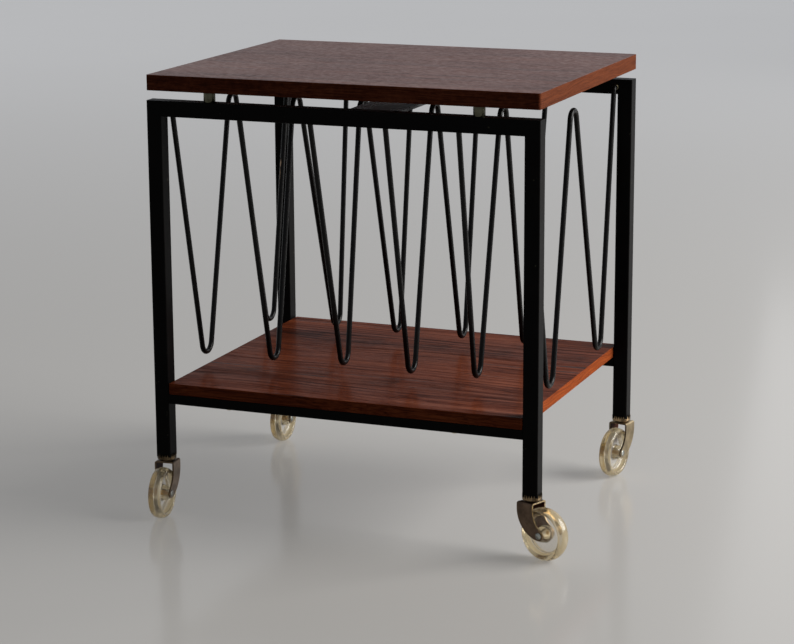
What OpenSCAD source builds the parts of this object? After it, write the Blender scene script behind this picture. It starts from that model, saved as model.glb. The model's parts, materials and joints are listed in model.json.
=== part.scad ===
// Rolling magazine rack: two square-tube ladder frames, a floating wooden top,
// a wooden shelf, six bent wire dividers and four swivel casters.
// X runs along the width, Y from front to back, Z up from the floor.

/* [Overall] */
// Width over the legs and the top board
overall_w = 452; // [380:1:600]
// Depth over the legs and the top board
overall_d = 352; // [320:4:420]
// Height of the top surface above the floor
overall_h = 500; // [440:10:620]

/* [Wooden boards] */
// Thickness of the top board
board_t = 17.3; // [12:0.1:22]
// Thickness of the shelf
shelf_t = 12.7; // [10:0.1:18]
// Height of the shelf's surface above the floor
shelf_h = 154.4; // [140:0.1:200]
// Corner radius of the top board, seen from above
board_corner_r = 3; // [1.5:0.5:8]
// Radius of the eased edges of the top board
board_edge_r = 1; // [0.5:0.25:2]
// Corner radius of the shelf, seen from above
shelf_corner_r = 1.5; // [1:0.5:3]
// Radius of the eased edges of the shelf
shelf_edge_r = 1; // [0.5:0.25:3]
// Gap between each end of the shelf and the legs
shelf_gap = 0.5; // [0.2:0.1:1.5]

/* [Frame] */
// Side of the square steel tube
tube = 17.3; // [15:0.1:20]
// Wall thickness of the tube
tube_wall = 1.5; // [1:0.25:2]
// Outer corner radius of the tube
tube_r = 1.25; // [0.5:0.25:2]
// Height of the flatter tube of the lower rails
lower_rail_h = 11; // [10:0.5:20]
// Width of the flat bar that ties the two top rails together
tie_w = 60; // [30:5:70]
// Thickness of the flat bar
tie_t = 3; // [2:0.5:5]

/* [Board fixings] */
// Free height between the top rails and the top board
board_gap = 10.7; // [8:0.1:20]
// Outer diameter of the brass spacers
spacer_d = 13; // [10:0.5:14]
// Distance of each spacer from the end of the rail
spacer_inset = 71; // [40:1:120]
// Sideways shift of the spacers from even places
spacer_shift = 1.5; // [-6:0.5:6]
// Diameter of the wood screws
screw_d = 4; // [3:0.25:5]
// Diameter of the screw heads
screw_head_d = 8; // [6.5:0.5:10]
// Height of the screw heads
screw_head_h = 2.4; // [1.5:0.1:3]
// Depth of the screws in the top board
board_bite = 10; // [6:1:11]
// Depth of the screws in the shelf
shelf_bite = 8; // [5:1:9]
// Distance of each shelf screw from the outside of the legs
shelf_screw_inset = 92.5; // [40:0.5:120]
// Sideways shift of the shelf screws from even places
shelf_screw_shift = -4; // [-6:0.5:6]
// Play of a screw in a drilled hole, on the radius
screw_play = 0.25; // [0.1:0.05:0.5]

/* [Wire dividers] */
// Number of dividers, an even one because the tie bar runs between the middle two
divider_count = 6; // [4:2:6]
// Diameter of the wire
wire_d = 6; // [4:0.5:6.5]
// Distance of the outer dividers' even place from the legs
divider_inset = 4.2; // [3.4:0.2:10]
// Free height between the lower bends and the shelf
divider_lift = 10.5; // [5:0.5:30]
// Middle radius of the lower bends
bend_r = 12; // [9:0.5:16]
// Middle radius of the peak
peak_bend_r = 11; // [9:0.5:16]
// Distance of the front lower bend from the front rail
front_bend = 85; // [70:1:95]
// Distance of the back lower bend from the back rail
back_bend = 61.5; // [50:0.5:80]
// Height of the free peak above the underside of the top rails
peak_rise = 5.8; // [-20:0.2:8]
// Middle radius of the short bend at each welded end
end_bend_r = 4.5; // [3.5:0.25:6]
// Length of straight wire between a welded end and its bend
end_stub = 1.2; // [1.2:0.1:3]
// Diameter of the brazed collar round each welded end
braze_d = 8; // [7:0.5:10]
// Width of the brazed collar
braze_t = 1; // [0.6:0.1:1.2]

/* [Hand-bent dividers] */
// Sideways place of each divider's front weld, beside its even place
front_weld_x = [-2, -3, -1.5, 4, 5.5, 0.5]; // [-6:0.5:6]
// Sideways place of each divider's front lower bend
front_bend_x = [-3.5, -1, 1, 3, -3, 1.5]; // [-6:0.5:6]
// How much nearer to the back each front lower bend is
front_bend_y = [-4.5, -1.5, 5.5, -1, 2, -2.5]; // [-8:0.5:8]
// How much higher each front lower bend is
front_bend_z = [1, 0, 0, -0.5, 0.5, -2.5]; // [-3:0.5:3]
// Sideways place of each divider's peak
peak_x = [-1.5, -3, -2.5, 3, 2.5, 1]; // [-6:0.5:6]
// Sideways place of each divider's back lower bend
back_bend_x = [-5, 0.5, 0, -0.5, -3.5, 3.5]; // [-6:0.5:6]
// How much nearer to the back each back lower bend is
back_bend_y = [1.5, 6.5, -0.5, 2, -1.5, 1]; // [-8:0.5:8]
// How much higher each back lower bend is
back_bend_z = [0.5, 0.5, 0.5, 0, 1, 0]; // [-3:0.5:3]
// Sideways place of each divider's back weld
back_weld_x = [-0.5, -4.5, -3, -0.5, 2, 1.5]; // [-6:0.5:6]

/* [Casters] */
// Height of the leg ends above the floor
caster_h = 68; // [66:1:80]
// Diameter of the wheels
wheel_d = 58; // [50:1:60]
// Width of the wheels' rim
wheel_w = 14.5; // [12:0.5:16]
// Radial thickness of the rim
rim_t = 6.5; // [5:0.5:8]
// Thickness of the wheels' web
web_t = 2.6; // [2:0.2:4]
// Largest diameter of the hub
hub_d = 17; // [14:0.5:19]
// Diameter of the hub at its ends
hub_end_d = 9; // [8.5:0.5:11]
// Distance of the wheel's axle behind the swivel axis
trail = 17.7; // [14:0.1:20]
// Turn of each caster, front left, front right, back left, back right
caster_turn = [-84, -21, -88, -100]; // [-180:1:180]

/* [Caster forks] */
// Width of the fork over its arms
fork_w = 22.8; // [20:0.2:26]
// Thickness of the fork's sheet metal
fork_t = 1.8; // [1.2:0.1:2.2]
// Outer radius of the fold between the plate and each arm
fork_fold_r = 2.6; // [2.4:0.2:4]
// Reach of the plate ahead of the swivel axis
fork_front = 12; // [10:0.5:14]
// Reach of the plate behind the swivel axis
fork_back = 9.3; // [8:0.1:11]
// Height of the straight upper part of each arm
fork_cheek = 7.5; // [5:0.5:10]
// Radius of the rounded end of each arm
fork_end_r = 5.6; // [5:0.1:7]
// Radius of the upper front corner of each arm
fork_brow_r = 3; // [2:0.5:4]
// Gap between the hub and each arm
hub_gap = 0.3; // [0.2:0.1:0.8]
// Diameter of the axle
axle_d = 4; // [3:0.5:5]
// Diameter of the axle's riveted heads
axle_head_d = 7.5; // [6.5:0.5:9]
// Height of the axle's riveted heads
axle_head_h = 1.3; // [0.8:0.1:2]
// Wall thickness of the bush in the hub
bush_wall = 1.15; // [0.8:0.05:1.5]

/* [Caster stems] */
// Diameter of the stem
stem_d = 7.9; // [7:0.1:8]
// Length of the stem inside the leg
stem_l = 26; // [20:1:35]
// Diameter of the stem's riveted foot
stem_foot_d = 9.2; // [8.5:0.1:10]
// Height of the stem's riveted foot
stem_foot_h = 1.2; // [0.8:0.1:1.5]
// Diameter of the swivel washer
washer_d = 15; // [12:0.5:18]
// Thickness of the swivel washer
washer_t = 1.7; // [1:0.1:2.5]
// Gap between the swivel washer and the socket
swivel_gap = 0.1; // [0.05:0.05:0.3]
// Running clearance of a turning shaft, on the radius
run_fit = 0.05; // [0.02:0.01:0.1]

/* [Leg sockets] */
// How far the socket's toothed crown stands out from the faces of the leg
crown_over = 2.2; // [2:0.1:3]
// Height of the crown below the leg
crown_h = 3.4; // [2.5:0.1:5]
// Height of the teeth beside the leg
tooth_rise = 2.6; // [1:0.2:4]
// Depth of the gaps between the teeth
tooth_depth = 3.8; // [2:0.2:5]
// Number of teeth
tooth_count = 24; // [16:4:32]
// Thickness of the teeth
tooth_t = 0.9; // [0.6:0.1:1.2]
// Wall thickness of the socket's sleeve
sleeve_wall = 0.9; // [0.6:0.1:1.2]
// Gap between a fixed piece and the hole or tube that holds it
seat_gap = 0.1; // [0.05:0.05:0.2]

/* [Hidden] */
$fn = 48;
arc_steps = 5;
// Cuts run this far past the surface where they start or end
past = 1;
corner = ["front_left", "front_right", "back_left", "back_right"];
side_x = [-1, 1, -1, 1];
side_y = [-1, -1, 1, 1];

// Places along the width and the depth
leg_x = (overall_w - tube) / 2;
leg_y = (overall_d - tube) / 2;
inner_w = overall_w - 2 * tube;
rail_face_y = overall_d / 2 - tube;
spacer_places = [for (s = [-1, 1]) s * (overall_w / 2 - spacer_inset) + spacer_shift];
shelf_screw_places = [for (s = [-1, 1]) s * (overall_w / 2 - shelf_screw_inset) + shelf_screw_shift];

// Heights
board_z = overall_h - board_t;
rail_top = board_z - board_gap;
rail_under = rail_top - tube;
rail_head_z = rail_top - tube_wall;
shelf_z = shelf_h - shelf_t;
lower_rail_z = shelf_z - lower_rail_h;
leg_l = rail_top - caster_h;

// Dividers
divider_pitch = (inner_w - 2 * divider_inset) / (divider_count - 1);
low_bend_z = shelf_h + divider_lift + wire_d / 2 + bend_r;
peak_z = rail_under + peak_rise - wire_d / 2 - peak_bend_r;
weld_z = rail_under + tube / 2;
end_bend_y = rail_face_y - end_stub;
// The runs end this far inside the bends, which are thicker by this much on the radius
bend_lap = 0.15;
bend_swell = 0.02;

// Casters
wheel_r = wheel_d / 2;
crown_z = caster_h - crown_h;
washer_top = crown_z - swivel_gap;
plate_top = washer_top - washer_t;
plate_under = plate_top - fork_t;
cheek_z = plate_top - fork_cheek;
arm_in = fork_w / 2 - fork_t;
hub_l = 2 * (arm_in - hub_gap);
stem_top = caster_h + stem_l;
stem_neck_d = 6;
sleeve_d = stem_d + 2 * (run_fit + sleeve_wall);
sleeve_l = stem_l + 1;
plug_cap = 6;
crown_d = tube + 2 * crown_over;
bush_d = axle_d + 2 * (run_fit + bush_wall);

// Play round a riveted or pressed piece, on the radius
rivet_play = 0.02;

// Small chamfers and details
screw_slot_w = 1;
screw_slot_depth = 0.9;
screw_access_d = screw_head_d + 2;
stem_chamfer = 1;
stem_foot_chamfer = 0.6;
washer_chamfer = 0.5;
crown_chamfer = 0.4;
braze_lip = 0.2;
// Half-width of the gap between two teeth, as a share of their spacing
tooth_gap_share = 0.42;

// Section of the wheel: where the tread's curve ends on the rim, as a share of the rim,
// the roll of the rim's inner edge, and the hollows where the web meets the rim and hub
rim_shoulder_share = 0.62;
rim_roll = 1.6;
web_hollow = 1.4;
hub_hollow = 1.2;

// Points on an arc from one angle to another
function arc(c, r, from, to, steps) =
    [for (i = [0:steps]) let (a = from + (to - from) * i / steps) c + r * [cos(a), sin(a)]];

// Outline of a rectangle with round corners, centred on the origin
function round_rect(w, h, r) = [
    each arc([w / 2 - r, h / 2 - r], r, 0, 90, arc_steps),
    each arc([r - w / 2, h / 2 - r], r, 90, 180, arc_steps),
    each arc([r - w / 2, r - h / 2], r, 180, 270, arc_steps),
    each arc([w / 2 - r, r - h / 2], r, 270, 360, arc_steps)
];

function unit(v) = v / norm(v);

// Direction of the straight run between two bends, each [y, z, radius, side]
function run_angle(a, b) =
    atan2(b[1] - a[1], b[0] - a[0])
    - asin((b[3] * b[2] - a[3] * a[2]) / norm([b[0] - a[0], b[1] - a[1]]));

// Point at a given sideways place where the runs before and after a bend would cross
function bend_corner(x, b, dir_in, dir_out) = let (
    reach = b[2] * abs(tan((dir_out - dir_in) / 2)),
    from = [b[0] + b[3] * b[2] * sin(dir_in), b[1] - b[3] * b[2] * cos(dir_in)]
) [x, from[0] + reach * cos(dir_in), from[1] + reach * sin(dir_in)];

// The bends of one divider as they lie in its middle plane, from front to back
function divider_bends(k) = [
    [-end_bend_y, weld_z - end_bend_r, end_bend_r, -1],
    [-rail_face_y + front_bend + front_bend_y[k], low_bend_z + front_bend_z[k], bend_r, 1],
    [0, peak_z, peak_bend_r, -1],
    [rail_face_y - back_bend + back_bend_y[k], low_bend_z + back_bend_z[k], bend_r, 1],
    [end_bend_y, weld_z - end_bend_r, end_bend_r, -1]
];

// The corners of one divider's wire, from weld to weld
function divider_corners(k) = let (
    x = -inner_w / 2 + divider_inset + k * divider_pitch,
    places = [front_weld_x[k], front_bend_x[k], peak_x[k], back_bend_x[k], back_weld_x[k]],
    bends = divider_bends(k),
    dirs = [0, for (i = [0:3]) run_angle(bends[i], bends[i + 1]), 0]
) [
    [x + places[0], -rail_face_y, weld_z],
    for (i = [0:4]) bend_corner(x + places[i], bends[i], dirs[i], dirs[i + 1]),
    [x + places[4], rail_face_y, weld_z]
];

// Angle swept by a fork arm's outer and inner edges, and the circles that carry them
outer_r = ((fork_front + trail) ^ 2 + (cheek_z - wheel_r) ^ 2 - fork_end_r ^ 2)
    / (2 * (fork_front + trail - fork_end_r));
outer_c = [outer_r - fork_front, cheek_z];
inner_r = ((fork_back - trail) ^ 2 + (cheek_z - wheel_r) ^ 2 - fork_end_r ^ 2)
    / (2 * (fork_end_r + trail - fork_back));
inner_c = [inner_r + fork_back, cheek_z];
axle_c = [trail, wheel_r];
outer_a = atan2(axle_c[1] - outer_c[1], axle_c[0] - outer_c[0]);
inner_a = atan2(axle_c[1] - inner_c[1], axle_c[0] - inner_c[0]);

// A board with round corners seen from above and eased edges all round
module board(w, d, t, corner_r, edge_r) {
    intersection() {
        linear_extrude(t) polygon(round_rect(w, d, corner_r));
        translate([-w / 2, 0, t / 2]) rotate([90, 0, 90])
            linear_extrude(w) polygon(round_rect(d, t, edge_r));
        translate([0, d / 2, t / 2]) rotate([90, 0, 0])
            linear_extrude(d) polygon(round_rect(w, t, edge_r));
    }
}

// Tube standing on the origin, as wide as the legs and h high
module box_tube(l, h) {
    difference() {
        linear_extrude(l) polygon(round_rect(tube, h, tube_r));
        translate([0, 0, -past]) linear_extrude(l + 2 * past)
            square([tube - 2 * tube_wall, h - 2 * tube_wall], center = true);
    }
}

// Everything above (1) or below (-1) the mitre that runs down and inwards from an upper corner
module mitre_side(corner_x, inwards, above) {
    reach = 4 * tube;
    translate([corner_x, reach / 2, rail_top]) rotate([90, 0, 0]) linear_extrude(reach)
        polygon([[-inwards * reach, reach], [inwards * reach, -reach], above * [inwards * reach, reach]]);
}

module leg(i) {
    color([0.05, 0.05, 0.05]) difference() {
        translate([side_x[i] * leg_x, side_y[i] * leg_y, caster_h]) box_tube(leg_l, tube);
        translate([0, side_y[i] * leg_y, 0]) mitre_side(side_x[i] * overall_w / 2, -side_x[i], 1);
    }
}

// A rail lying along the width
module rail_tube(l, y, z, h) {
    translate([-l / 2, y, z + h / 2]) rotate([90, 0, 90]) box_tube(l, h);
}

// Upright holes through a rail at two places along the width
module rail_holes(places, y, z, h, d) {
    for (x = places) translate([x, y, z - past]) cylinder(h = h + 2 * past, d = d);
}

// A top rail, with wide holes below through which the screws' heads go in
module top_rail(side) {
    y = side * leg_y;
    color([0.05, 0.05, 0.05]) difference() {
        rail_tube(overall_w, y, rail_under, tube);
        for (s = [-1, 1]) translate([0, y, 0]) mitre_side(s * overall_w / 2, -s, -1);
        rail_holes(spacer_places, y, rail_head_z, tube_wall, screw_d + 2 * screw_play);
        rail_holes(spacer_places, y, rail_under, tube_wall, screw_access_d);
    }
}

module lower_rail(side) {
    y = side * leg_y;
    color([0.05, 0.05, 0.05]) difference() {
        rail_tube(inner_w, y, lower_rail_z, lower_rail_h);
        rail_holes(shelf_screw_places, y, lower_rail_z, lower_rail_h, screw_d + 2 * screw_play);
    }
}

module tie_bar() {
    color([0.06, 0.06, 0.06]) translate([-tie_w / 2, -rail_face_y, rail_under])
        cube([tie_w, 2 * rail_face_y, tie_t]);
}

// Pilot holes for the screws in the underside of a board
module pilot_holes(places, z, depth) {
    for (x = places, s = [-1, 1])
        translate([x, s * leg_y, z - past])
            cylinder(h = past + depth + seat_gap, d = screw_d + seat_gap);
}

module top_board() {
    color([0.45, 0.3, 0.22]) difference() {
        translate([0, 0, board_z]) board(overall_w, overall_d, board_t, board_corner_r, board_edge_r);
        pilot_holes(spacer_places, board_z, board_bite);
    }
}

module shelf_board() {
    color([0.5, 0.26, 0.15]) difference() {
        translate([0, 0, shelf_z])
            board(inner_w - 2 * shelf_gap, overall_d, shelf_t, shelf_corner_r, shelf_edge_r);
        pilot_holes(shelf_screw_places, shelf_z, shelf_bite);
    }
}

module board_spacer(i) {
    color([0.72, 0.6, 0.35])
        translate([spacer_places[i % 2], side_y[i] * leg_y, rail_top]) difference() {
            cylinder(h = board_gap, d = spacer_d);
            translate([0, 0, -past])
                cylinder(h = board_gap + 2 * past, d = screw_d + 2 * screw_play);
        }
}

// A pan-head wood screw that points up, with the underside of its head on the origin
module screw(l) {
    difference() {
        union() {
            cylinder(h = l, d = screw_d);
            rotate_extrude() polygon([
                [0, 0],
                [screw_head_d / 2, 0],
                [screw_head_d / 2, -0.4 * screw_head_h],
                [0.4 * screw_head_d, -0.8 * screw_head_h],
                [0.2 * screw_head_d, -screw_head_h],
                [0, -screw_head_h]
            ]);
        }
        translate([-screw_head_d, -screw_slot_w / 2, -screw_head_h - past])
            cube([2 * screw_head_d, screw_slot_w, past + screw_slot_depth]);
    }
}

module board_screws() {
    color([0.7, 0.65, 0.5]) for (x = spacer_places, s = [-1, 1])
        translate([x, s * leg_y, rail_head_z]) screw(tube_wall + board_gap + board_bite);
}

module shelf_screws() {
    color([0.7, 0.65, 0.5]) for (x = shelf_screw_places, s = [-1, 1])
        translate([x, s * leg_y, lower_rail_z]) screw(lower_rail_h + shelf_bite);
}

// Puts what is drawn along X, Y and Z along three unit vectors at a point
module placed(x, y, z, at) {
    multmatrix([
        [x[0], y[0], z[0], at[0]],
        [x[1], y[1], z[1], at[1]],
        [x[2], y[2], z[2], at[2]],
        [0, 0, 0, 1]
    ]) children();
}

// Distance from a bend's corner to the end of its arc
function bend_reach(r, dir_in, dir_out) = r * tan(acos(dir_in * dir_out) / 2);

// A bend of the wire at a corner, between the directions of the runs before and after it
module wire_bend(at, r, dir_in, dir_out) {
    cosine = dir_in * dir_out;
    inwards = unit(dir_out - cosine * dir_in);
    centre = at - bend_reach(r, dir_in, dir_out) * dir_in + r * inwards;
    placed(-inwards, dir_in, cross(dir_in, inwards), centre)
        rotate_extrude(angle = acos(cosine)) translate([r, 0]) circle(r = wire_d / 2 + bend_swell);
}

// A straight run of wire between two corners, short of each by the given distance
module wire_run(from, to, short_from, short_to) {
    along = unit(to - from);
    across = unit(cross([1, 0, 0], along));
    placed(across, cross(along, across), along, from + short_from * along)
        cylinder(h = norm(to - from) - short_from - short_to, d = wire_d);
}

// A brazed collar round one welded end
module braze(at, side) {
    translate(at) rotate([side * 90, 0, 0])
        cylinder(h = braze_t, d1 = braze_d, d2 = wire_d + 2 * braze_lip);
}

// A divider bent from one wire and brazed to both top rails
module divider(n) {
    corners = divider_corners(n - 1);
    radii = [end_bend_r, bend_r, peak_bend_r, bend_r, end_bend_r];
    dirs = [for (i = [0:5]) unit(corners[i + 1] - corners[i])];
    gaps = [0, for (i = [0:4]) bend_reach(radii[i], dirs[i], dirs[i + 1]) - bend_lap, 0];
    color([0.05, 0.05, 0.05]) {
        for (i = [0:5]) wire_run(corners[i], corners[i + 1], gaps[i], gaps[i + 1]);
        for (i = [0:4]) wire_bend(corners[i + 1], radii[i], dirs[i], dirs[i + 1]);
        braze(corners[0], -1);
        braze(corners[6], 1);
    }
}

module leg_plug(i) {
    side = tube - 2 * tube_wall - 2 * seat_gap;
    hole_l = sleeve_l + seat_gap;
    color([0.6, 0.45, 0.3]) translate([side_x[i] * leg_x, side_y[i] * leg_y, caster_h]) difference() {
        linear_extrude(hole_l + plug_cap) square(side, center = true);
        translate([0, 0, -past]) cylinder(h = past + hole_l, d = sleeve_d + 2 * seat_gap);
    }
}

// Crown, teeth and sleeve of the socket that holds a caster's stem
module caster_socket(i) {
    crown_r = crown_d / 2;
    sleeve_r = sleeve_d / 2;
    bore_r = stem_d / 2 + run_fit;
    color([0.75, 0.62, 0.38]) translate([side_x[i] * leg_x, side_y[i] * leg_y, caster_h]) difference() {
        rotate_extrude() polygon([
            [bore_r, -crown_h],
            [crown_r - crown_chamfer, -crown_h],
            [crown_r, crown_chamfer - crown_h],
            [crown_r, tooth_rise],
            [crown_r - tooth_t, tooth_rise],
            [crown_r - tooth_t, 0],
            [sleeve_r, 0],
            [sleeve_r, sleeve_l],
            [bore_r, sleeve_l]
        ]);
        for (k = [0:tooth_count - 1])
            rotate([0, 0, k * 360 / tooth_count]) tooth_gap(crown_r);
        leg_end_space(sleeve_r + seat_gap);
    }
}

// The notch between two teeth of the crown
module tooth_gap(crown_r) {
    half = tooth_gap_share * PI * crown_d / tooth_count;
    translate([crown_r - tooth_t, 0, 0]) rotate([90, 0, 90]) linear_extrude(tooth_t + past)
        polygon([
            [0, tooth_rise - tooth_depth],
            [half, tooth_rise],
            [half, tooth_rise + past],
            [-half, tooth_rise + past],
            [-half, tooth_rise]
        ]);
}

// The room that the leg's end takes up inside the crown
module leg_end_space(sleeve_r) {
    side = tube + 2 * seat_gap;
    difference() {
        translate([-side / 2, -side / 2, 0]) cube([side, side, tooth_rise + past]);
        translate([0, 0, -past]) cylinder(h = tooth_rise + 3 * past, r = sleeve_r);
    }
}

// Puts a caster's own pieces at a leg, turned as the caster stands
module at_caster(i) {
    translate([side_x[i] * leg_x, side_y[i] * leg_y, 0]) rotate([0, 0, caster_turn[i]]) children();
}

module caster_stem(i) {
    color([0.6, 0.6, 0.6]) at_caster(i) rotate_extrude() polygon([
        [0, plate_under - stem_foot_h],
        [stem_foot_d / 2 - stem_foot_chamfer, plate_under - stem_foot_h],
        [stem_foot_d / 2, plate_under - stem_foot_h + stem_foot_chamfer],
        [stem_foot_d / 2, plate_under],
        [stem_neck_d / 2, plate_under],
        [stem_neck_d / 2, plate_top],
        [stem_d / 2, plate_top],
        [stem_d / 2, stem_top - stem_chamfer],
        [stem_d / 2 - stem_chamfer, stem_top],
        [0, stem_top]
    ]);
}

module caster_washer(i) {
    hole_r = stem_d / 2 + seat_gap;
    color([0.35, 0.3, 0.22]) at_caster(i) rotate_extrude() polygon([
        [hole_r, plate_top],
        [washer_d / 2, plate_top],
        [washer_d / 2, washer_top - washer_chamfer],
        [washer_d / 2 - washer_chamfer, washer_top],
        [hole_r, washer_top]
    ]);
}

// Side outline of the fork, with the swivel axis at zero and the axle behind it
module fork_side() {
    polygon([
        each arc([fork_brow_r - fork_front, plate_top - fork_brow_r], fork_brow_r, 90, 180, arc_steps),
        each arc(outer_c, outer_r, 180, 360 + outer_a, 14),
        each arc(axle_c, fork_end_r, 360 + outer_a, 540 + inner_a, 12),
        each arc(inner_c, inner_r, 360 + inner_a, 180, 10),
        [fork_back, plate_top]
    ]);
}

// Section of the folded sheet, seen along the trail
module fork_fold() {
    foot = wheel_r - fork_end_r - past;
    inner_fold_r = fork_fold_r - fork_t;
    polygon([
        [fork_w / 2, foot],
        each arc([fork_w / 2 - fork_fold_r, plate_top - fork_fold_r], fork_fold_r, 0, 90, arc_steps),
        each arc([fork_fold_r - fork_w / 2, plate_top - fork_fold_r], fork_fold_r, 90, 180, arc_steps),
        [-fork_w / 2, foot],
        [-arm_in, foot],
        each arc([inner_fold_r - arm_in, plate_under - inner_fold_r], inner_fold_r, 180, 90, arc_steps),
        each arc([arm_in - inner_fold_r, plate_under - inner_fold_r], inner_fold_r, 90, 0, arc_steps),
        [arm_in, foot]
    ]);
}

module caster_fork(i) {
    length = fork_front + trail + fork_end_r + past;
    color([0.55, 0.47, 0.33]) at_caster(i) difference() {
        intersection() {
            translate([0, fork_w / 2 + past, 0]) rotate([90, 0, 0])
                linear_extrude(fork_w + 2 * past) fork_side();
            translate([-fork_front, 0, 0]) rotate([90, 0, 90])
                linear_extrude(length) fork_fold();
        }
        translate([0, 0, plate_under - past])
            cylinder(h = fork_t + 2 * past, d = stem_neck_d + 2 * rivet_play);
        translate([trail, fork_w / 2 + past, wheel_r]) rotate([90, 0, 0])
            cylinder(h = fork_w + 2 * past, d = axle_d + 2 * rivet_play);
    }
}

// Half of a riveted axle, from its middle to its domed head
module half_axle() {
    rotate_extrude() polygon([
        [0, 0],
        [axle_d / 2, 0],
        [axle_d / 2, fork_w / 2],
        [axle_head_d / 2, fork_w / 2],
        for (a = [15:15:90]) [axle_head_d / 2 * cos(a), fork_w / 2 + axle_head_h * sin(a)]
    ]);
}

module caster_axle(i) {
    color([0.8, 0.8, 0.78]) at_caster(i) translate([trail, 0, wheel_r])
        for (s = [-1, 1]) rotate([s * 90, 0, 0]) half_axle();
}

// Half of the wheel's section: radius, then distance from the wheel's middle
function wheel_half() = let (
    rim_in = wheel_r - rim_t,
    half_w = wheel_w / 2,
    half_web = web_t / 2,
    shoulder = rim_shoulder_share * rim_t,
    hub_r = hub_d / 2,
    hub_end_r = hub_end_d / 2,
    hub_foot = half_web + hub_hollow
) [
    for (a = [0:15:90]) [wheel_r - shoulder * (1 - cos(a)), half_w * sin(a)],
    for (a = [30:30:90])
        [wheel_r - shoulder - (rim_t - shoulder) * sin(a), half_w - rim_roll * (1 - cos(a))],
    [rim_in - web_hollow, half_web + web_hollow],
    [rim_in - 2 * web_hollow, half_web],
    [hub_r + hub_hollow, half_web],
    for (a = [0:15:90])
        [hub_end_r + (hub_r - hub_end_r) * cos(a), hub_foot + (hub_l / 2 - hub_foot) * sin(a)]
];

module caster_wheel(i) {
    half = wheel_half();
    last = len(half) - 1;
    bore_r = bush_d / 2 + rivet_play;
    color([0.86, 0.78, 0.58]) at_caster(i) translate([trail, 0, wheel_r]) rotate([90, 0, 0])
        rotate_extrude() polygon([
            each half,
            [bore_r, hub_l / 2],
            [bore_r, -hub_l / 2],
            for (k = [last:-1:1]) [half[k][0], -half[k][1]]
        ]);
}

module caster_bush(i) {
    length = hub_l + hub_gap;
    color([0.72, 0.56, 0.3]) at_caster(i) translate([trail, length / 2, wheel_r]) rotate([90, 0, 0])
        difference() {
            cylinder(h = length, d = bush_d);
            translate([0, 0, -past]) cylinder(h = length + 2 * past, d = axle_d + 2 * run_fit);
        }
}

top_board();
shelf_board();
top_rail(-1);  // front_top_rail
top_rail(1);  // back_top_rail
lower_rail(-1);  // front_lower_rail
lower_rail(1);  // back_lower_rail
tie_bar();
board_screws();
shelf_screws();
for (n = [1:divider_count])
    divider(n);
for (i = [0:3]) {
    leg(i);
    leg_plug(i);
    board_spacer(i);
    caster_socket(i);
    caster_stem(i);
    caster_washer(i);
    caster_fork(i);
    caster_axle(i);
    caster_wheel(i);
    caster_bush(i);
}
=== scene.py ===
"""Looks of the rolling magazine rack: its finishes, bent wires, casters and a plain studio."""

import json
import math

import bmesh
import bpy
from bpy.props import FloatProperty, FloatVectorProperty, IntProperty, PointerProperty
from mathutils import Matrix, Vector


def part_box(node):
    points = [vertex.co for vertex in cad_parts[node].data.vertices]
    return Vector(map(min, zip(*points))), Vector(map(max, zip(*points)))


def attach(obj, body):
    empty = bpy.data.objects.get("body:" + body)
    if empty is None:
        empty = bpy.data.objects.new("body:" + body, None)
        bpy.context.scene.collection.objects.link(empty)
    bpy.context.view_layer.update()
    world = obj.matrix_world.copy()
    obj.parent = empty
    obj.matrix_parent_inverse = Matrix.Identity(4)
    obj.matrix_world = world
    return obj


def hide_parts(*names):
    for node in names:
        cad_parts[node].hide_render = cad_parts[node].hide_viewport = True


bl_info = {
    "name": "Rolling magazine rack",
    "version": (1, 0, 0),
    "blender": (4, 5, 0),
    "location": "View3D > Sidebar > Rack",
    "description": "Finishes and modelled pieces of a rolling magazine rack around its fixed frame",
    "category": "Object",
}

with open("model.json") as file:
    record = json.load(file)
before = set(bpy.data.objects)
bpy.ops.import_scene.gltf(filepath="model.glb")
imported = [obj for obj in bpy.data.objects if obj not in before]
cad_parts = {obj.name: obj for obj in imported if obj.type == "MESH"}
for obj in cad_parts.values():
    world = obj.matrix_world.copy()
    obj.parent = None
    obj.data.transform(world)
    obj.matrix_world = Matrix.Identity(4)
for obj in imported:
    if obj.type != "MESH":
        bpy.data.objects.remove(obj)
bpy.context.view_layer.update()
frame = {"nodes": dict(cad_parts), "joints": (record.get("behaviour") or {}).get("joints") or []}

CORNERS = ("front_left", "front_right", "back_left", "back_right")
JOINTS = {joint["name"]: joint for joint in frame["joints"]}
DIVIDERS = sorted(name for name in frame["nodes"] if name.startswith("divider_"))
MM = 0.001


def node_size(node):
    """Size of a frame node along X, Y and Z."""
    low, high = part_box(node)
    return high - low


def node_centre(node):
    """Middle of a frame node's box."""
    low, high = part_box(node)
    return (low + high) / 2


def corner_nodes(name):
    """Names of a node that stands once at each corner."""
    return [f"{name}_{corner}" for corner in CORNERS]


# Settings


def length(name, description, millimetres):
    """A size that can be set; its default is given in millimetres."""
    return FloatProperty(name=name, description=description, default=millimetres * MM, unit="LENGTH",
                         precision=5)


def colour(name, description, value):
    """A colour that can be set."""
    return FloatVectorProperty(name=name, description=description, default=value, size=3, subtype="COLOR",
                               min=0.0, max=1.0)


def share(name, description, value):
    """A value from 0 to 1 that can be set."""
    return FloatProperty(name=name, description=description, default=value, min=0.0, max=1.0,
                         subtype="FACTOR")


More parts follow.
